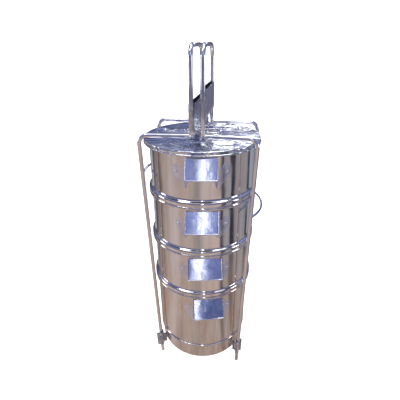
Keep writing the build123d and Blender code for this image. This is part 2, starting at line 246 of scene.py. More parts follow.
def handle_steel():
    """Softer sheet with small dents from pressing; its blue is a painted reflection of the blue room."""
    steel = Finish("handle_steel")
    dents = steel.noise((38, 38, 38), 2.0, 0.5, 0.5)
    grain = steel.noise((500, 60, 500), 2.0)
    smears = steel.noise((30, 30, 30), 4.0, 0.6, 0.8)
    # Painted reflection: the blue of these two colours stands in for the blue room mirrored in the plates.
    smeared(steel, smears, (0.62, 0.66, 0.88, 1), (0.90, 0.92, 1.0, 1), 0.13, 0.23)
    dented = steel.bump(dents, 0.35, 0.0014)
    steel.surface(Normal=steel.bump(grain, 0.08, 0.0002, dented))
    return steel.material


# %% Steel of the wires, the clips, the rivets and the welds
def wire_steel():
    """Drawn wire: fine upright lines and a few dings."""
    steel = Finish("wire_steel")
    lines = steel.noise((900, 900, 9), 2.0)
    dings = steel.noise((60, 60, 30), 2.0)
    smears = steel.noise((55, 55, 14), 4.0, 0.6)
    smeared(steel, smears, (0.78, 0.77, 0.80, 1), (0.97, 0.96, 0.99, 1), 0.06, 0.15)
    lined = steel.bump(lines, 0.12, 0.0002)
    steel.surface(Normal=steel.bump(dings, 0.3, 0.0006, lined))
    return steel.material


def clip_steel():
    """Duller sheet of the sleeves, the stops and the saddle."""
    steel = Finish("clip_steel")
    grain = steel.noise((90, 90, 30))
    smears = steel.noise((60, 60, 60), 4.0, 0.6, 0.8)
    smeared(steel, smears, (0.58, 0.59, 0.65, 1), (0.80, 0.81, 0.86, 1), 0.10, 0.22)
    steel.surface(Normal=steel.bump(grain, 0.2, 0.0006))
    return steel.material


def grainy_steel(name, dark, light, grain, roughness, strength):
    """A small part's plain steel: one fine pattern mottles it and roughens it."""
    steel = Finish(name)
    speckle = steel.noise((grain, grain, grain))
    steel.surface(Base_Color=steel.mix(steel.ramp(speckle, 0.35, 0.65), dark, light), Metallic=1.0,
                  Roughness=steel.ramp(speckle, 0.3, 0.7, *roughness))
    steel.surface(Normal=steel.bump(speckle, strength, 0.0005))
    return steel.material


WALL = wall_steel()
LID = lid_steel()
HANDLE = handle_steel()
WIRE = wire_steel()
CLIP = clip_steel()
RIVET = grainy_steel("rivet_steel", (0.80, 0.79, 0.80, 1), (0.95, 0.94, 0.95, 1), 260, (0.20, 0.34), 0.15)
# The hinge brackets' dark blue is a painted reflection of the blue room.
BRACKET = grainy_steel("hinge_steel", (0.34, 0.37, 0.50, 1), (0.62, 0.65, 0.78, 1), 90, (0.12, 0.26), 0.3)
WELD = grainy_steel("weld_steel", (0.42, 0.38, 0.37, 1), (0.70, 0.66, 0.64, 1), 420, (0.22, 0.42), 0.5)
print("finishes:", ", ".join(steel.name for steel in (WALL, LID, HANDLE, WIRE, CLIP, RIVET, BRACKET, WELD)))

# %% [markdown]
# ## Making a piece
# A piece is shaped in a bmesh and then handed over: smoothed where its faces nearly agree, given its
# steel, tied to the body it moves with, and set to stand for its CAD nodes. Its place is in its mesh,
# so its object stays at the origin.

# %% Handing a mesh over as a piece
def deliver(bm, name, steel, body, nodes=(), smooth=35.0):
    """Make bm a piece. Edges that turn by more than smooth degrees stay sharp."""
    mesh = bpy.data.meshes.new(name)
    bm.to_mesh(mesh)
    bm.free()
    piece = bpy.data.objects.new(name, mesh)
    bpy.context.scene.collection.objects.link(piece)
    mesh.materials.append(steel)
    mesh.shade_smooth()
    mesh.set_sharp_from_angle(angle=math.radians(smooth))
    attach(piece, body)
    if nodes:
        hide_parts(*nodes)
    return piece


def face_outwards(bm):
    """Merge what coincides and turn every face to the outside."""
    bmesh.ops.remove_doubles(bm, verts=bm.verts[:], dist=0.00001)
    bmesh.ops.recalc_face_normals(bm, faces=bm.faces[:])
    bm.normal_update()


def turn_by(bm, degrees):
    """Turn everything made so far about the pots' axis."""
    bmesh.ops.rotate(bm, verts=bm.verts[:], cent=(0, 0, 0),
                     matrix=Matrix.Rotation(math.radians(degrees), 3, "Z"))


def join(bm, other):
    """Add another bmesh's shape to bm."""
    mesh = bpy.data.meshes.new("part")
    other.to_mesh(mesh)
    other.free()
    bm.from_mesh(mesh)
    bpy.data.meshes.remove(mesh)


# %% [markdown]
# ## Turned sheet: pots, lid and cup
# A pot is a body of revolution. Its outer line is drawn once as a chain of points, its corners are
# rounded with a vertex bevel, it is spun round the axis, and the skin gets its thickness last, inwards.
# The rolled edge is a full round bead spun on the same axis. A spun wall is never perfectly true, so
# the skin is pushed in here and there, by up to a quarter of a millimetre, before it is thickened. That
# is what makes the long reflections on it bend.

# %% A spun skin, its unevenness and its bead
def spun_sheet(chain, corner=2 * MM, dent=0.10 * MM, seed=0.0, steps=168, cut=9 * MM):
    """Sheet spun from chain, its outer line as (r, z); runs longer than cut are divided so they can dent."""
    bm = bmesh.new()
    points = [bm.verts.new((r, 0, z)) for r, z in chain]
    for first, second in zip(points, points[1:]):
        bm.edges.new((first, second))
    bmesh.ops.bevel(bm, geom=points[1:-1], offset=corner, offset_type="OFFSET", segments=4, profile=0.5,
                    affect="VERTICES", material=-1, clamp_overlap=True)
    for edge in bm.edges[:]:
        cuts = int(edge.calc_length() / cut)
        if cuts:
            bmesh.ops.subdivide_edges(bm, edges=[edge], cuts=cuts)
    bmesh.ops.spin(bm, geom=bm.verts[:] + bm.edges[:], cent=(0, 0, 0), axis=(0, 0, 1), dvec=(0, 0, 0),
                   angle=math.tau, steps=steps, use_merge=True)
    face_outwards(bm)
    for vert in bm.verts:
        uneven = noise.noise(vert.co * 22 + Vector((seed, 0, 0))) + 0.4 * noise.noise(vert.co * 60)
        vert.co -= vert.normal * dent * (1 + uneven)
    bmesh.ops.solidify(bm, geom=bm.faces[:], thickness=SHEET)
    return bm


def add_bead(bm, r, z, radius, steps=168, sides=16):
    """A round bead on the same axis, for a rolled edge."""
    before = set(bm.verts)
    stand = Matrix.Translation((r, 0, z)) @ Matrix.Rotation(math.pi / 2, 4, "X")
    bmesh.ops.create_circle(bm, radius=radius, segments=sides, matrix=stand)
    ring = [v for v in bm.verts if v not in before]
    edges = list({e for v in ring for e in v.link_edges})
    bmesh.ops.spin(bm, geom=ring + edges, cent=(0, 0, 0), axis=(0, 0, 1), dvec=(0, 0, 0),
                   angle=math.tau, steps=steps, use_merge=True)
    added = [v for v in bm.verts if v not in before]
    bmesh.ops.remove_doubles(bm, verts=added, dist=0.00001)
    fresh = {f for v in bm.verts if v not in before for f in v.link_faces}
    bmesh.ops.recalc_face_normals(bm, faces=list(fresh))


# %% [markdown]
# ## The four pots
# Each of the upper three has a narrow foot that drops into the pot below, a swelled band that rests on
# the rim below, a straight wall and a flared, rolled rim. The band runs into the wall over a shallow
# shelf: its two soft corners sweep through the whole room's reflection and give the band its fine light
# and dark lines. The lowest pot has a stepped foot that stands in the base cup instead.

# %% Pots
RIM_BEAD = 3 * MM
BAND_R = RIM_R - 1.2 * MM
NEST_R, NEST_H = 99.1 * MM, 12 * MM        # the foot that drops into the pot below
FLOOR_R, STEP_R = 91.9 * MM, 97.1 * MM     # the lowest pot's floor and stepped foot
STEP_H, STEP_TOP = 7.8 * MM, 43 * MM       # its slope, and the height where it widens to the wall


def pot_line(k):
    """The outer line of a pot, from the middle of its floor to its rim; k is 0 for the top one."""
    rim = RIM_Z[k]
    top = [(WALL_R, rim - 8 * MM), (RIM_R - 1.2 * RIM_BEAD, rim - 3.4 * MM)]
    if k < 3:
        ledge = RIM_Z[k + 1] + 0.3 * MM
        return [(0, ledge - NEST_H), (NEST_R, ledge - NEST_H), (NEST_R, ledge), (BAND_R, ledge),
                (BAND_R, ledge + 7.4 * MM), (WALL_R + 1.2 * MM, ledge + 9.8 * MM),
                (WALL_R, ledge + 13.5 * MM)] + top
    floor = CUP_Z + 1.3 * MM
    return [(0, floor), (FLOOR_R, floor), (STEP_R, floor + STEP_H), (STEP_R, floor + STEP_TOP),
            (WALL_R, floor + STEP_TOP + 7 * MM)] + top


for k in range(4):
    bm = spun_sheet(pot_line(k), seed=7.0 * k)
    add_bead(bm, RIM_R - RIM_BEAD, RIM_Z[k] - RIM_BEAD, RIM_BEAD)
    count = len(bm.faces)
    deliver(bm, f"pot_wall_{k + 1}", WALL, f"pot_{k + 1}_body", [f"pot_{k + 1}"])
    print("pot", k + 1, "faces", count)

# %% [markdown]
# ## Base cup, lid and the lid's collar
# They are spun the same way. The lid's top is a wide flat sheet, and wide flat sheet is the least true
# of all: it gets deeper waves than the walls, which is why the sky in it looks stirred.

# %% Cup, lid and collar
CUP_R, CUP_H = 98.7 * MM, 44 * MM
cup_line = [(0, CUP_Z), (CUP_R - 4.9 * MM, CUP_Z), (CUP_R, CUP_Z + STEP_H), (CUP_R, CUP_Z + CUP_H)]
bm = spun_sheet(cup_line, seed=31)
add_bead(bm, CUP_R + 1.5 * MM, CUP_Z + CUP_H, 2.2 * MM)
deliver(bm, "base_cup_sheet", WALL, "base", ["base_cup"])

LID_BEAD = 1.6 * MM
flange_r, flange_low = LID_R - 1.4 * MM, LID_Z - 7.5 * MM
bm = spun_sheet([(0, LID_Z), (flange_r, LID_Z), (flange_r, flange_low)], dent=0.16 * MM, seed=47)
add_bead(bm, LID_R - LID_BEAD, flange_low, LID_BEAD, sides=12)
deliver(bm, "lid_sheet", LID, "lid", ["lid_plate"])

COLLAR_R, COLLAR_H = 99.4 * MM, 11 * MM
collar_top = LID_Z - 1.3 * MM
bm = spun_sheet([(COLLAR_R - 9 * MM, collar_top), (COLLAR_R, collar_top), (COLLAR_R, collar_top - COLLAR_H)],
                dent=0.02 * MM)
deliver(bm, "lid_collar_ring", WALL, "lid", ["lid_collar"])
print("cup, lid and collar made")

# %% [markdown]
# ## Finger handles
# Each pot has two. One strip of sheet makes the sloping plate and, folded back at both sides, the two
# wings that carry it; tabs on the wall take the rivets. The strip is a grid whose columns are laid
# along the folded section: flat, round the fold, and back along the wing. Laying a grid along a folded
# line keeps the bend's rows together, which a boolean or a box with bevels would not.

# %% The folded strip
HANDLE_W = (55 * MM, 61 * MM, 66 * MM, 63 * MM)    # hand-cut, so no two pots agree
HANDLE_TURN = (7.5, 8.0, 11.0, 14.5)               # how far each pot stands turned, in degrees
HANDLE_TOP = 10 * MM                               # plate's top edge below the rim
HANDLE_H = 34 * MM
HANDLE_OUT = 21 * MM                               # plate's lower edge, out from the tabs
WING_DROP = 24 * MM                                # wings reach this far below the plate at the wall
TAB_IN = WALL_R + 0.3 * MM
TAB_OUT = TAB_IN + SHEET


def folded_strip(top, half):
    """Plate and wings, facing -Y; half is half the plate's width. Returns them and the lower lip's middle."""
    bm = bmesh.new()
    bmesh.ops.create_grid(bm, x_segments=48, y_segments=18, size=1)
    low = top - HANDLE_H
    fold = 1.7 * MM
    plate_top = Vector((0, -TAB_OUT - 0.3 * MM, top))
    plate_low = Vector((0, -TAB_OUT - HANDLE_OUT, low))
    wall_top = Vector((0, -TAB_IN + 1 * MM, top))
    wall_low = Vector((0, -TAB_IN + 1 * MM, low - WING_DROP))
    out = Vector((0, -HANDLE_H, HANDLE_OUT)).normalized()
    flat, folded = 0.6, 0.75    # shares of the grid's width where the fold starts and ends
    for vert in bm.verts:
        across, down = vert.co.x, (1 - vert.co.y) / 2
        front = plate_top.lerp(plate_low, down)
        back = wall_top.lerp(wall_low, down)
        depth = (back - front).length
        bend = min(fold, 0.7 * depth)
        share = abs(across)
        if share <= flat:
            side, inward = share / flat * (half - bend), 0.0
        elif share <= folded:
            angle = (share - flat) / (folded - flat) * math.pi / 2
            side, inward = half - bend + bend * math.sin(angle), bend * (1 - math.cos(angle))
        else:
            side, inward = half, bend + (share - folded) / (1 - folded) * (depth - bend)
        crown = max(0.0, 1 - (side / half) ** 2)
        vert.co = front + (back - front).normalized() * inward + out * 1.3 * MM * crown
        vert.co.x = math.copysign(side, across)
        vert.co += out * 0.12 * MM * noise.noise(vert.co * 60)
    bm.normal_update()
    middle = min(bm.faces, key=lambda f: f.calc_center_median().y)
    if middle.normal.y > 0:
        bmesh.ops.reverse_faces(bm, faces=bm.faces[:])
    bmesh.ops.solidify(bm, geom=bm.faces[:], thickness=SHEET)
    return bm, plate_low


# %% [markdown]
# ## Bent wire
# Bails, rungs, the lid's pull and the feet are all round wire. A circle is the wire's section: it is
# extruded along each straight run and spun round the centre of each bend, exactly as a bending jig
# does it. A curve with a bevel would do it in fewer lines, but its bends would not be true arcs.

# %% A wire from a circle
def run_on(bm, rim, step):
    """Extrude the open end of a wire by a step, and return the new open end."""
    made = bmesh.ops.extrude_edge_only(bm, edges=rim)["geom"]
    verts = [g for g in made if isinstance(g, bmesh.types.BMVert)]
    bmesh.ops.translate(bm, verts=verts, vec=step)
    return [g for g in made if isinstance(g, bmesh.types.BMEdge) and all(v in verts for v in g.verts)]


def close_end(bm, rim, way, radius, dome):
    """Round off an open end of a wire: smaller and smaller rings, then a face."""
    centre = sum((e.verts[0].co + e.verts[1].co for e in rim), Vector()) / (2 * len(rim))
    for angle in (30, 55, 75):
        lean = math.radians(angle)
        rim = run_on(bm, rim, Vector())
        verts = list({v for e in rim for v in e.verts})
        for vert in verts:
            spoke = (vert.co - centre)
            spoke -= way * spoke.dot(way)
            vert.co = centre + spoke.normalized() * radius * math.cos(lean) + way * dome * math.sin(lean)
    bmesh.ops.edgeloop_fill(bm, edges=rim)


def bent_wire(corners, radius, bend=0.0, sides=20, dome=0.4, piece=14 * MM, closed=False):
    """Round wire through corners, each rounded to the same bend radius."""
    bm = bmesh.new()
    corners = [Vector(c) for c in corners]
    if closed:
        middle = (corners[0] + corners[-1]) / 2
        corners = [middle] + corners + [middle]
    way = (corners[1] - corners[0]).normalized()
    stand = Matrix.Translation(corners[0]) @ way.to_track_quat("Z", "Y").to_matrix().to_4x4()
    bmesh.ops.create_circle(bm, radius=radius, segments=sides, matrix=stand)
    rim = bm.edges[:]
    first = rim[:]
    here = corners[0]
    for i in range(1, len(corners)):
        way = (corners[i] - corners[i - 1]).normalized()
        cut = 0.0
        if i < len(corners) - 1:
            onward = (corners[i + 1] - corners[i]).normalized()
            sweep = way.angle(onward)
            cut = bend * math.tan(sweep / 2)
        reach = (corners[i] - way * cut - here).length
        count = max(1, round(reach / piece))
        for _ in range(count):
            rim = run_on(bm, rim, way * reach / count)
        here = corners[i] - way * cut
        if cut:
            axis = way.cross(onward).normalized()
            centre = here + axis.cross(way) * bend
            verts = list({v for e in rim for v in e.verts})
            steps = max(4, round(math.degrees(sweep) / 7))
            made = bmesh.ops.spin(bm, geom=verts + rim, cent=centre, axis=axis, dvec=(0, 0, 0), angle=sweep,
                                  steps=steps, use_merge=False)["geom_last"]
            rim = [g for g in made if isinstance(g, bmesh.types.BMEdge)]
            here = corners[i] + onward * cut
    if not closed:
        close_end(bm, first, (corners[0] - corners[1]).normalized(), radius, radius * dome)
        close_end(bm, rim, way, radius, radius * dome)
    face_outwards(bm)
    return bm


trial = bent_wire([(0, 0, 0), (0, 0, 0.1), (0.1, 0, 0.1)], 0.004, 0.016)
print("trial bend reaches", [round(max(v.co[i] for v in trial.verts), 4) for i in range(3)])
trial.free()

# %% [markdown]
# ## Tabs and rivets
# A tab is a flat outline bent round the pot. The outline is one face with rounded corners. It is sliced
# upright every two millimetres, so that it can follow the wall, and each point moves straight back
# onto the wall's circle. A rivet is spun from its own section: a domed head outside, a flat tail inside.

# %% Tabs, rivets and the finished handles
RIVET_U = 43 * MM      # rivets, sideways from the plate's middle
RIVET_DROP = 29 * MM   # and below its top edge


def tab(side, top, half):
    """The riveted tab beside a wing, side = -1 or 1: a lug round the rivet and a tail down the wing."""
    low, rivet_z = top - HANDLE_H, top - RIVET_DROP
    outline = [(half - 0.5 * MM, rivet_z + 9 * MM), (half + 7.5 * MM, rivet_z + 9 * MM),
               (RIVET_U - 1.5 * MM, rivet_z + 16 * MM), (RIVET_U + 6.5 * MM, rivet_z + 9 * MM),
               (RIVET_U + 6.5 * MM, rivet_z - 3 * MM), (half + 9.5 * MM, low - 16 * MM),
               (half + 2.5 * MM, low - WING_DROP), (half - 0.5 * MM, low - WING_DROP)]
    bm = bmesh.new()
    face = bm.faces.new([bm.verts.new((x, -TAB_OUT, z)) for x, z in outline])
    bmesh.ops.bevel(bm, geom=face.verts[:], offset=1.8 * MM, offset_type="OFFSET", segments=3, profile=0.5,
                    affect="VERTICES", material=-1, clamp_overlap=True)
    for x in range(math.ceil(half / MM), 49, 2):
        bmesh.ops.bisect_plane(bm, geom=bm.verts[:] + bm.edges[:] + bm.faces[:], plane_co=(x * MM, 0, 0),
                               plane_no=(1, 0, 0))
    for vert in bm.verts:
        vert.co.y = -math.sqrt(TAB_OUT ** 2 - vert.co.x ** 2)
        vert.co.x *= side
    bm.normal_update()
    if bm.faces[:][0].normal.y > 0:
        bmesh.ops.reverse_faces(bm, faces=bm.faces[:])
    bmesh.ops.solidify(bm, geom=bm.faces[:], thickness=SHEET * 0.95)
    return bm


def rivet(section, matrix):
    """A closed spun body on Z from (r, height) in millimetres, then placed."""
    bm = bmesh.new()
    points = [bm.verts.new((r * MM, 0, z * MM)) for r, z in section]
    for first, second in zip(points, points[1:]):
        bm.edges.new((first, second))
    bmesh.ops.spin(bm, geom=bm.verts[:] + bm.edges[:], cent=(0, 0, 0), axis=(0, 0, 1), dvec=(0, 0, 0),
                   angle=math.tau, steps=24, use_merge=True)
    face_outwards(bm)
    bmesh.ops.transform(bm, matrix=matrix, verts=bm.verts[:])
    return bm


WALL_RIVET = [(0, 1.62), (0.9, 1.56), (1.8, 1.34), (2.6, 0.92), (3.1, 0.4), (3.2, 0.0), (3.0, -0.1),
              (1.5, -0.15), (1.5, -2.5), (2.4, -2.5), (2.5, -2.9), (2.2, -3.3), (1.2, -3.5), (0, -3.5)]
FACING_FRONT = Matrix.Rotation(math.pi / 2, 4, "X")
RIVET_ANGLE = math.degrees(math.asin(RIVET_U / WALL_R))

for k in range(4):
    heads = bmesh.new()
    top, half = RIM_Z[k] - HANDLE_TOP, HANDLE_W[k] / 2
    at_wall = Matrix.Translation((0, -TAB_OUT, top - RIVET_DROP)) @ FACING_FRONT
    for behind, end in ((0, "front"), (180, "back")):
        turn = HANDLE_TURN[k] + behind
        bm, lip = folded_strip(top, half)
        across = Vector((half - 1.2 * MM, 0, 0))
        join(bm, bent_wire([lip - across, lip + across], 1.35 * MM, sides=14, dome=1.0))
        join(bm, tab(-1, top, half))
        join(bm, tab(1, top, half))
        turn_by(bm, turn)
        deliver(bm, f"finger_handle_{k + 1}_{end}", HANDLE, f"pot_{k + 1}_body",
                [f"handle_{k + 1}_{end}"], smooth=40)
        for side in (-1, 1):
            spot = Matrix.Rotation(math.radians(turn + side * RIVET_ANGLE), 4, "Z")
            join(heads, rivet(WALL_RIVET, spot @ at_wall))
    deliver(heads, f"wall_rivets_{k + 1}", RIVET, f"pot_{k + 1}_body", [f"rivets_{k + 1}"])
print("handles and rivets made")

# %% [markdown]
# ## The bails
# Each bail is two long rods that lean in towards the feet, bend over the lid and meet a tall loop. The
# rod and the bar over the lid are one wire. The loop is another, and a weld joins the two where they
# cross. A thinner rung ties the two rods at the side.

# %% Bails, loops and rungs
WIRE_R, WIRE_BEND = 4 * MM, 16 * MM
RUNG_R = 2.5 * MM
BAR_Z = LID_Z + 11.5 * MM
ROD_TOP = Vector((104.52, 65.6)) * MM      # x and y where the rods' line meets the bars' height
ROD_FOOT = Vector((92.28, 60.6)) * MM      # and where it meets the floor
HINGE_Z = 60 * MM
LOOP_X, LOOP_Y = 10 * MM, 59.6 * MM
LOOP_BEND = 20 * MM


def rod_at(z):
    """The rods' distance from the middle, x and y, at height z."""
    return ROD_FOOT.lerp(ROD_TOP, z / BAR_Z)


def lump(centre, size, seed):
    """A weld: a small uneven lump that sinks into the wires it joins."""
    bm = bmesh.new()
    bmesh.ops.create_icosphere(bm, subdivisions=3, radius=1.0)
    for vert in bm.verts:
        vert.co *= 1 + 0.10 * noise.noise(vert.co * 1.6 + Vector((seed, 0, 0)))
    bmesh.ops.scale(bm, verts=bm.verts[:], vec=size)
    bmesh.ops.translate(bm, verts=bm.verts[:], vec=centre)
    return bm


for side, sx in (("left", -1), ("right", 1)):
    body = f"{side}_bail"
    welds = bmesh.new()
    for end, sy in (("front", -1), ("back", 1)):
        hinge = rod_at(HINGE_Z)
        corners = [(sx * hinge.x, sy * hinge.y, HINGE_Z), (sx * ROD_TOP.x, sy * ROD_TOP.y, BAR_Z),
                   (sx * LOOP_X, sy * LOOP_Y, BAR_Z)]
        wire = bent_wire(corners, WIRE_R, WIRE_BEND, dome=1.0)
        deliver(wire, f"bail_wire_{side}_{end}", WIRE, body,
                [f"rod_{side}_{end}", f"bar_{side}_{end}"])
        crossing = (sx * (LOOP_X + 3.6 * MM), sy * LOOP_Y, BAR_Z)
        join(welds, lump(crossing, Vector((2.6, 4.7, 4.6)) * MM, sx + 2 * sy))
    x, low, high = sx * LOOP_X, BAR_Z - 4.2 * MM, LOOP_TOP - WIRE_R
    loop = bent_wire([(x, -LOOP_Y, low), (x, -LOOP_Y, high), (x, LOOP_Y, high), (x, LOOP_Y, low)],
                     WIRE_R, LOOP_BEND, dome=0.1)
    deliver(loop, f"carrying_loop_{side}", WIRE, body,
            [f"leg_{side}_front", f"leg_{side}_back", f"loop_{side}"])
    rung_low, rung_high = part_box(f"rung_{side}")
    z = (rung_low.z + rung_high.z) / 2
    rod = rod_at(z)
    bow = max(abs(rung_low.x), abs(rung_high.x)) - RUNG_R - rod.x
    radius = (rod.y ** 2 + bow ** 2) / (2 * bow)
    half = math.asin(rod.y / radius)
    way = Vector((sx * math.sin(half), math.cos(half), 0))
    stand = Matrix.Translation((sx * rod.x, -rod.y, z)) @ way.to_track_quat("Z", "Y").to_matrix().to_4x4()
    rung = bmesh.new()
    bmesh.ops.create_circle(rung, radius=RUNG_R, segments=16, matrix=stand)
    bmesh.ops.spin(rung, geom=rung.verts[:] + rung.edges[:], cent=(sx * (rod.x + bow - radius), 0, z),
                   axis=(0, 0, sx), dvec=(0, 0, 0), angle=2 * half, steps=24, use_merge=False)
    bmesh.ops.holes_fill(rung, edges=rung.edges[:], sides=16)
    face_outwards(rung)
    deliver(rung, f"rung_wire_{side}", WIRE, body, [f"rung_{side}"])
    for sy in (-1, 1):
        joint = (sx * (rod.x + 0.5 * MM), sy * (rod.y - 3.4 * MM), z)
        join(welds, lump(joint, Vector((3.2, 2.4, 3.3)) * MM, sy))
    deliver(welds, f"bail_welds_{side}", WELD, body)
print("bails made")

# %% [markdown]
# ## Sleeves on the loops
# A flat band of sheet is wrapped round each loop's two legs and slides on them. It starts as a circle
# as wide as a leg, whose front and back halves are pulled apart to the two legs. It is extruded upwards
# in steps, drawn in a little at mid-height, and its two edges are turned out into small hems.

# %% Sleeves
def sleeve(sx, low, high):
    """The band round one loop's legs, from height low to high."""
    bm = bmesh.new()
    outer = 5.08 * MM
    bmesh.ops.create_circle(bm, radius=outer, segments=32, matrix=Matrix.Translation((0, 0, low)))
    for vert in bm.verts:
        if abs(vert.co.y) > 0.001 * MM:
            vert.co.y += math.copysign(LOOP_Y, vert.co.y)
    runs = [e for e in bm.edges if e.calc_length() > LOOP_Y / 2]
    bmesh.ops.subdivide_edges(bm, edges=runs, cuts=6)
    rim = bm.edges[:]
    for _ in range(8):
        rim = run_on(bm, rim, Vector((0, 0, (high - low) / 8)))
    face_outwards(bm)
    for vert in bm.verts:
        across = max(0.0, 1 - (vert.co.y / LOOP_Y) ** 2)
        up = (vert.co.z - low) / (high - low)
        vert.co.x -= math.copysign(0.35 * MM, vert.co.x) * across * math.sin(math.pi * up)
    bmesh.ops.solidify(bm, geom=bm.faces[:], thickness=SHEET)
    for z in (low + 0.9 * MM, high - 0.9 * MM):
        for x in (-outer * 0.92, outer * 0.92):
            join(bm, bent_wire([(x, -LOOP_Y, z), (x, LOOP_Y, z)], 0.75 * MM, sides=10))
    bmesh.ops.translate(bm, verts=bm.verts[:], vec=(sx * LOOP_X, 0, 0))
    return bm


for side, sx in (("left", -1), ("right", 1)):
    low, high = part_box(f"sleeve_{side}")
    deliver(sleeve(sx, low.z, high.z), f"sliding_sleeve_{side}", CLIP, f"{side}_sleeve",
            [f"sleeve_{side}"])
    print(side, "sleeve stands from", round(low.z, 4), "to", round(high.z, 4))

# %% [markdown]
# ## Stop plates
# Under the loops' feet lies a small plate with an upright tongue. It keeps the two loops a wire apart
# when they are shut. Both are outlines with rounded corners, extruded to the sheet's thickness and then
# softened along their edges.

# %% A flat piece from an outline
def flat_piece(outline, thick, corner, soft=0.25 * MM):
    """outline is (x, y) round the piece, which rises from z = 0 to thick."""
    bm = bmesh.new()
    face = bm.faces.new([bm.verts.new((x, y, 0)) for x, y in outline])
    bmesh.ops.bevel(bm, geom=face.verts[:], offset=corner, offset_type="OFFSET", segments=5, profile=0.5,
                    affect="VERTICES", material=-1, clamp_overlap=True)
    made = bmesh.ops.extrude_face_region(bm, geom=bm.faces[:])["geom"]
    bmesh.ops.translate(bm, verts=[g for g in made if isinstance(g, bmesh.types.BMVert)], vec=(0, 0, thick))
    face_outwards(bm)
    sharp = [e for e in bm.edges if e.calc_face_angle(0) > 1.0]
    bmesh.ops.bevel(bm, geom=sharp, offset=soft, offset_type="OFFSET", segments=2, profile=0.5,
                    affect="EDGES", material=-1, clamp_overlap=True)
    return bm


CLIP_T = 1.2 * MM
for end, sy in (("front", -1), ("back", 1)):
    low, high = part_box(f"stop_{end}")
    wide, deep, narrow = 15.5 * MM, 9.5 * MM, 4.5 * MM
    bm = flat_piece([(-wide, -deep), (wide, -deep), (wide, deep), (-wide, deep)], CLIP_T, 3 * MM)
    bmesh.ops.translate(bm, verts=bm.verts[:], vec=(0, sy * (LOOP_Y + 5.5 * MM), low.z))
    rise = high.z - low.z - 0.4 * MM
    outline = [(-narrow, -1 * MM), (narrow, -1 * MM), (narrow, rise), (-narrow, rise)]
    tongue = flat_piece(outline, CLIP_T, CLIP_T)
    stand = Matrix.Translation((0, sy * (LOOP_Y - 1 * MM) + CLIP_T / 2, low.z + 0.3 * MM)) @ FACING_FRONT
    bmesh.ops.transform(tongue, matrix=stand, verts=tongue.verts[:])
    join(bm, tongue)
    deliver(bm, f"stop_plate_{end}", CLIP, "right_bail", [f"stop_{end}"])
print("stop plates made")

# %% [markdown]
# ## The lid's pull
# A small wire ring folds flat on the lid. A pressed saddle holds its front side down: the saddle is a
# strip bent over the wire, with a foot in front and behind, each riveted through the lid.

# %% Pull, saddle and its rivets
PULL_WIRE = 2 * MM
low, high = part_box("lid_pull")
PULL_Z = (low.z + high.z) / 2
x, hinge_y, free_y = high.x - PULL_WIRE, low.y + PULL_WIRE, high.y - PULL_WIRE
ring = bent_wire([(x, hinge_y, PULL_Z), (x, free_y, PULL_Z), (-x, free_y, PULL_Z), (-x, hinge_y, PULL_Z)],
                 PULL_WIRE, (free_y - hinge_y) / 2 - 0.02 * MM, sides=16, closed=True)
deliver(ring, "pull_ring", WIRE, "pull", ["lid_pull"])

SADDLE_W, SADDLE_FOOT = 20 * MM, 12 * MM
SADDLE_RIVET = 8 * MM       # rivets in front and behind the hinge line
foot, crest = LID_Z + 1.3 * MM, PULL_Z + 3.1 * MM
bm = bmesh.new()
line = [(-SADDLE_FOOT, foot), (-3.6 * MM, foot), (-3.1 * MM, crest), (3.1 * MM, crest), (3.6 * MM, foot),
        (SADDLE_FOOT, foot)]
points = [bm.verts.new((-SADDLE_W / 2, hinge_y + y, z)) for y, z in line]
for first, second in zip(points, points[1:]):
    bm.edges.new((first, second))
bmesh.ops.bevel(bm, geom=points[1:-1], offset=2.2 * MM, offset_type="OFFSET", segments=5, profile=0.5,
                affect="VERTICES", material=-1, clamp_overlap=True)
rim = bm.edges[:]
for _ in range(6):
    rim = run_on(bm, rim, Vector((SADDLE_W / 6, 0, 0)))
bm.normal_update()
if max(bm.faces, key=lambda f: f.calc_center_median().z).normal.z < 0:
    bmesh.ops.reverse_faces(bm, faces=bm.faces[:])
bmesh.ops.solidify(bm, geom=bm.faces[:], thickness=SHEET)
deliver(bm, "pull_saddle", CLIP, "lid", ["lid_saddle"])

LID_RIVET = [(0, 1.3), (0.9, 1.22), (1.8, 0.9), (2.4, 0.45), (2.6, 0.0), (2.4, -0.1), (1.5, -0.15),
             (1.5, -2.2), (2.5, -2.4), (2.2, -2.9), (0, -2.9)]
heads = bmesh.new()
for step in (-SADDLE_RIVET, SADDLE_RIVET):
    join(heads, rivet(LID_RIVET, Matrix.Translation((0, hinge_y + step, foot + 0.05 * MM))))
deliver(heads, "saddle_rivets", RIVET, "lid", ["lid_rivets"])
print("pull made, its wire", round((PULL_Z - LID_Z) / MM, 1), "mm above the lid")

# %% [markdown]
# ## Feet, hinge brackets and pins
# Below each hinge a short post carries on the rod's line to the floor. A channel of sheet holds post
# and hinge from the inboard side and a web joins it to the cup. The channel is a U-shaped chain,
# rounded, extruded down the rod's line and thickened. Below the pin its cheeks are drawn back inboard,
# so that rod and post read as one line from the front.

# %% Feet, brackets and pins
PIN = [(0, 6.8), (1.4, 6.75), (2.3, 6.4), (2.75, 5.9), (2.8, 5.6), (1.5, 5.5), (1.5, -5.5), (2.8, -5.6),
       (2.75, -5.9), (2.3, -6.4), (1.4, -6.75), (0, -6.8)]


CHEEK_GAP = 5.55 * MM       # from the rod's middle to a cheek's outside
CHEEK_OUT = 3.0 * MM        # the cheeks' outboard edge at the pin
CHANNEL_H, CHANNEL_TOP = 40 * MM, 6 * MM    # its length, and how far it stands above the pin
ROOT_R = 99.2 * MM          # the web's root, just inside the cup's outline
WEB_Z = HINGE_Z - 18 * MM   # the web's middle


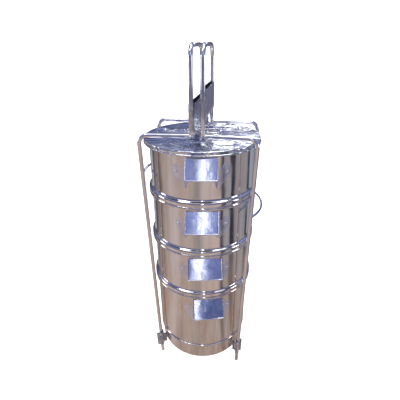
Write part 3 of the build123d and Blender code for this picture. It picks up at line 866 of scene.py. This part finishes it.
def channel(sx, sy):
    """The U round the rod, made in a frame whose z runs up the rod and whose x points outboard."""
    bm = bmesh.new()
    points = [bm.verts.new((x, y, 0)) for x, y in ((CHEEK_OUT, CHEEK_GAP), (-CHEEK_GAP, CHEEK_GAP),
                                                   (-CHEEK_GAP, -CHEEK_GAP), (CHEEK_OUT, -CHEEK_GAP))]
    for first, second in zip(points, points[1:]):
        bm.edges.new((first, second))
    bmesh.ops.bevel(bm, geom=points[1:-1], offset=2 * MM, offset_type="OFFSET", segments=4, profile=0.5,
                    affect="VERTICES", material=-1, clamp_overlap=True)
    rim = bm.edges[:]
    for _ in range(10):
        rim = run_on(bm, rim, Vector((0, 0, -CHANNEL_H / 10)))
    for vert in bm.verts:
        down = -vert.co.z / CHANNEL_H
        if vert.co.x > 0:
            below = min(1.0, max(0.0, (down - 0.30) / 0.08))
            vert.co.x -= 4.8 * MM * below + 1.5 * MM * max(0.0, 1 - 6 * down) ** 2
    bm.normal_update()
    inboard = min(bm.faces, key=lambda f: f.calc_center_median().x)
    if inboard.normal.x > 0:
        bmesh.ops.reverse_faces(bm, faces=bm.faces[:])
    bmesh.ops.solidify(bm, geom=bm.faces[:], thickness=CLIP_T)
    bmesh.ops.translate(bm, verts=bm.verts[:], vec=(0, 0, CHANNEL_TOP))
    hinge = rod_at(HINGE_Z)
    up = Vector((sx * (ROD_TOP.x - ROD_FOOT.x), sy * (ROD_TOP.y - ROD_FOOT.y), BAR_Z)).normalized()
    out = (Vector((sx, 0, 0)) - up * up.x * sx).normalized()
    axes = Matrix((out, up.cross(out), up)).transposed().to_4x4()
    place = Matrix.Translation((sx * hinge.x, sy * hinge.y, HINGE_Z))
    bmesh.ops.transform(bm, matrix=place @ axes, verts=bm.verts[:])
    return bm


def web(turn, far):
    """The plate that joins a channel to the cup's wall, in the direction turn."""
    outline = [(ROOT_R, -14 * MM), (far, -14 * MM), (far, 14 * MM), (ROOT_R, 11 * MM)]
    bm = flat_piece(outline, 3 * MM, 0.8 * MM)
    upright = Matrix.Translation((0, 1.5 * MM, WEB_Z)) @ FACING_FRONT
    bmesh.ops.transform(bm, matrix=Matrix.Rotation(turn, 4, "Z") @ upright, verts=bm.verts[:])
    return bm


pins = bmesh.new()
welds = bmesh.new()
hinge = rod_at(HINGE_Z)
for side, sx in (("left", -1), ("right", 1)):
    for end, sy in (("front", -1), ("back", 1)):
        name = f"{side}_{end}"
        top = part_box(f"foot_{name}")[1].z
        low_at, high_at = rod_at(0), rod_at(top)
        post = bent_wire([(sx * low_at.x, sy * low_at.y, 0.2 * MM),
                          (sx * high_at.x, sy * high_at.y, top - 0.9 * MM)], WIRE_R, dome=0.2)
        for vert in post.verts:
            vert.co.z = max(vert.co.z, 0.0)
        deliver(post, f"foot_post_{name}", WIRE, "base", [f"foot_{name}"])
        turn = math.atan2(sy * hinge.y, sx * hinge.x)
        bm = channel(sx, sy)
        join(bm, web(turn, hinge.length - WIRE_R))
        deliver(bm, f"hinge_bracket_{name}", BRACKET, "base", [f"bracket_{name}"])
        for rise in (-12, -6, 0, 6):
            for aside in (-2, 2):
                root = Matrix.Rotation(turn, 3, "Z") @ Vector((ROOT_R, aside * MM, WEB_Z + rise * MM))
                join(welds, lump(root, Vector((1.3, 1.3, 3.4)) * MM, rise + aside))
        join(pins, rivet(PIN, Matrix.Translation((sx * hinge.x, sy * hinge.y, HINGE_Z)) @ FACING_FRONT))
deliver(pins, "hinge_pin_set", RIVET, "base", ["hinge_pins"])
deliver(welds, "bracket_welds", WELD, "base")
print("feet, brackets and pins made")

# %% [markdown]
# ## The floor and the light
# The floor is a wide pale disc whose edge rises into a wall, so the view ends in plain white. Steel
# shows what stands around it, so the room matters more than the lamps. A dull warm counter lies round
# the object for the walls to mirror; only reflections see it, and its colour changes with direction, so
# the walls get their upright streaks. The room above is blue, dark again high up and white overhead.
# That order, seen in a rolled rim or a band's soft corner, makes one bright line between dark ones.
# Six soft lamps add the streak on the finger plates and the light patches on the lid.

# %% Floor and counter
def set_stops(color_ramp, stops):
    """Give a ramp these (position, colour) stops."""
    while len(color_ramp.elements) < len(stops):
        color_ramp.elements.new(0.5)
    for element, (position, shade) in zip(color_ramp.elements, stops):
        element.position = position
        element.color = (*shade, 1)


def stage_disc(name, radii, steps=96):
    """A disc for the stage, spun from (r, z) points out from the axis."""
    bm = bmesh.new()
    points = [bm.verts.new((r, 0, z)) for r, z in radii]
    for first, second in zip(points, points[1:]):
        bm.edges.new((first, second))
    bmesh.ops.spin(bm, geom=bm.verts[:] + bm.edges[:], cent=(0, 0, 0), axis=(0, 0, 1), dvec=(0, 0, 0),
                   angle=math.tau, steps=steps, use_merge=True)
    bmesh.ops.remove_doubles(bm, verts=bm.verts[:], dist=0.00001)
    mesh = bpy.data.meshes.new(name)
    bm.to_mesh(mesh)
    bm.free()
    disc = bpy.data.objects.new(name, mesh)
    bpy.context.scene.collection.objects.link(disc)
    mesh.shade_smooth()
    return disc


pale = Finish("pale_floor")
pale.surface(Base_Color=(0.9, 0.9, 0.9, 1), Roughness=0.9)
pale.surface(Emission_Color=(1, 1, 1, 1), Emission_Strength=0.55)
floor = stage_disc("floor", [(0, -0.0005), (2.9, -0.0005), (3.2, 0.06), (3.4, 0.3), (3.5, 6.0)])
floor.data.materials.append(pale.material)
floor.visible_glossy = False

# what stands round the object: a direction in degrees, 0 on the camera's side, and its colour
AROUND = [(-180, (0.22, 0.24, 0.30)), (-152, (0.05, 0.05, 0.08)), (-140, (0.60, 0.60, 0.64)),
          (-128, (0.05, 0.05, 0.07)), (-112, (0.34, 0.29, 0.27)), (-104, (0.08, 0.07, 0.07)),
          (-92, (0.42, 0.34, 0.31)), (-62, (0.60, 0.52, 0.52)), (-48, (0.47, 0.37, 0.34)),
          (-24, (0.50, 0.41, 0.37)), (-17, (0.36, 0.31, 0.30)), (-7, (0.34, 0.30, 0.30)),
          (-1, (0.52, 0.44, 0.42)), (22, (0.54, 0.45, 0.43)), (34, (0.56, 0.46, 0.43)),
          (39, (0.05, 0.05, 0.09)), (44, (0.05, 0.05, 0.08)), (47, (0.34, 0.33, 0.37)),
          (58, (0.36, 0.35, 0.38)), (62, (0.035, 0.035, 0.06)), (70, (0.05, 0.05, 0.08)),
          (74, (0.27, 0.27, 0.30)), (98, (0.33, 0.32, 0.35)), (108, (0.24, 0.24, 0.27)),
          (112, (0.04, 0.04, 0.06)), (117, (0.05, 0.05, 0.07)), (123, (0.36, 0.40, 0.50)),
          (150, (0.20, 0.22, 0.28)), (180, (0.22, 0.24, 0.30))]
AHEAD = 8.5     # degrees that the camera's side is turned from -Y
warm = Finish("warm_counter")
split = [warm.node("ShaderNodeSeparateXYZ", {}, {0: warm.place}, i) for i in range(2)]
angle = warm.node("ShaderNodeMath", {"operation": "ARCTAN2"}, {0: split[0], 1: 0 - split[1]})
ring = warm.node("ShaderNodeValToRGB", {}, {0: angle * (1 / math.tau) + (0.5 - AHEAD / 360)})
set_stops(ring.socket.node.color_ramp, [(degrees / 360 + 0.5, shade) for degrees, shade in AROUND])
far = warm.node("ShaderNodeVectorMath", {"operation": "LENGTH"}, {0: warm.place}, "Value")
near = warm.ramp(far, 0.65, 0.15)
colour = warm.mix(near * 0.55, ring, (0.50, 0.385, 0.32, 1))
patches = warm.noise((3.0, 3.0, 3.0), 2.0)
colour = warm.mix(warm.ramp(patches, 0.50, 0.62, 0.0, 0.35), colour, (0.30, 0.25, 0.24, 1))
warm.surface(Base_Color=(0, 0, 0, 1), Roughness=1.0, Emission_Color=colour, Emission_Strength=1.0)
warm.surface(Specular_IOR_Level=0.0)
counter = stage_disc("counter", [(0, 0.0), (3.0, 0.0)])
counter.data.materials.append(warm.material)
counter.visible_camera = counter.visible_diffuse = counter.visible_shadow = False
print("floor and counter laid, with", len(AROUND), "colours round the object")

# %% Room and lamps
world = bpy.data.worlds.new("room")
bpy.context.scene.world = world
world.use_nodes = True
nodes, links = world.node_tree.nodes, world.node_tree.links
nodes.clear()
sky = nodes.new("ShaderNodeTexCoord")
split_sky = nodes.new("ShaderNodeSeparateXYZ")
ramp = nodes.new("ShaderNodeValToRGB")
glow = nodes.new("ShaderNodeBackground")
end = nodes.new("ShaderNodeOutputWorld")
# the sine of the height above the horizon, and the room's colour there
set_stops(ramp.color_ramp, [(0.0, (0.17, 0.165, 0.24)), (0.09, (0.12, 0.12, 0.19)),
                            (0.17, (0.04, 0.05, 0.10)), (0.27, (0.11, 0.14, 0.26)),
                            (0.38, (0.14, 0.17, 0.34)), (0.50, (0.22, 0.26, 0.50)),
                            (0.62, (0.30, 0.34, 0.60)), (0.70, (0.26, 0.29, 0.46)),
                            (0.78, (0.06, 0.07, 0.12)), (0.86, (0.10, 0.10, 0.15)),
                            (0.91, (1.3, 1.3, 1.35)), (1.0, (1.3, 1.3, 1.35))])
links.new(sky.outputs["Generated"], split_sky.inputs[0])
cloud = nodes.new("ShaderNodeTexNoise")
cloud.inputs["Scale"].default_value = 2.6
cloud.inputs["Detail"].default_value = 3.0
shift = nodes.new("ShaderNodeMapRange")
shift.inputs["From Min"].default_value, shift.inputs["From Max"].default_value = 0.3, 0.7
shift.inputs["To Min"].default_value, shift.inputs["To Max"].default_value = -0.08, 0.08
height = nodes.new("ShaderNodeMath")
links.new(sky.outputs["Generated"], cloud.inputs["Vector"])
links.new(cloud.outputs[0], shift.inputs["Value"])
links.new(split_sky.outputs[2], height.inputs[0])
links.new(shift.outputs[0], height.inputs[1])
links.new(height.outputs[0], ramp.inputs[0])
links.new(ramp.outputs[0], glow.inputs[0])
links.new(glow.outputs[0], end.inputs[0])


def soft_lamp(name, spot, aim, size, power, colour):
    """A large rectangular soft light at spot that faces aim."""
    data = bpy.data.lights.new(name, "AREA")
    data.shape = "RECTANGLE"
    data.size, data.size_y = size
    data.energy = power
    data.color = colour
    lamp = bpy.data.objects.new(name, data)
    bpy.context.scene.collection.objects.link(lamp)
    way = Vector(aim) - Vector(spot)
    lamp.matrix_world = Matrix.Translation(spot) @ way.to_track_quat("-Z", "Y").to_matrix().to_4x4()


COOL, WARM, WHITE = (0.97, 0.98, 1.0), (1.0, 0.98, 0.97), (1, 1, 1)
for lamp in (("lamp_window", (0.36, -2.30, 1.72), (0, 0, 0.4), (0.17, 2.1), 3.4, COOL),
             ("lamp_front", (-1.3, -1.1, 3.1), (0, 0, 0.3), (0.9, 0.5), 10, WARM),
             ("lamp_back", (0.25, 2.4, 1.25), (0, 0, 0.55), (1.1, 0.22), 4.0, WHITE),
             ("lamp_over", (0.4, 0.5, 2.8), (0, 0, 0.3), (1.6, 0.6), 18, WHITE),
             ("lamp_left", (-2.6, -0.4, 0.85), (0, 0, 0.35), (0.6, 1.1), 9, COOL),
             ("lamp_right", (2.6, -0.5, 0.85), (0, 0, 0.35), (0.6, 1.1), 9, COOL)):
    soft_lamp(*lamp)
    print(lamp[0], "hangs at", lamp[1])
bpy.context.scene.view_settings.view_transform = "Standard"
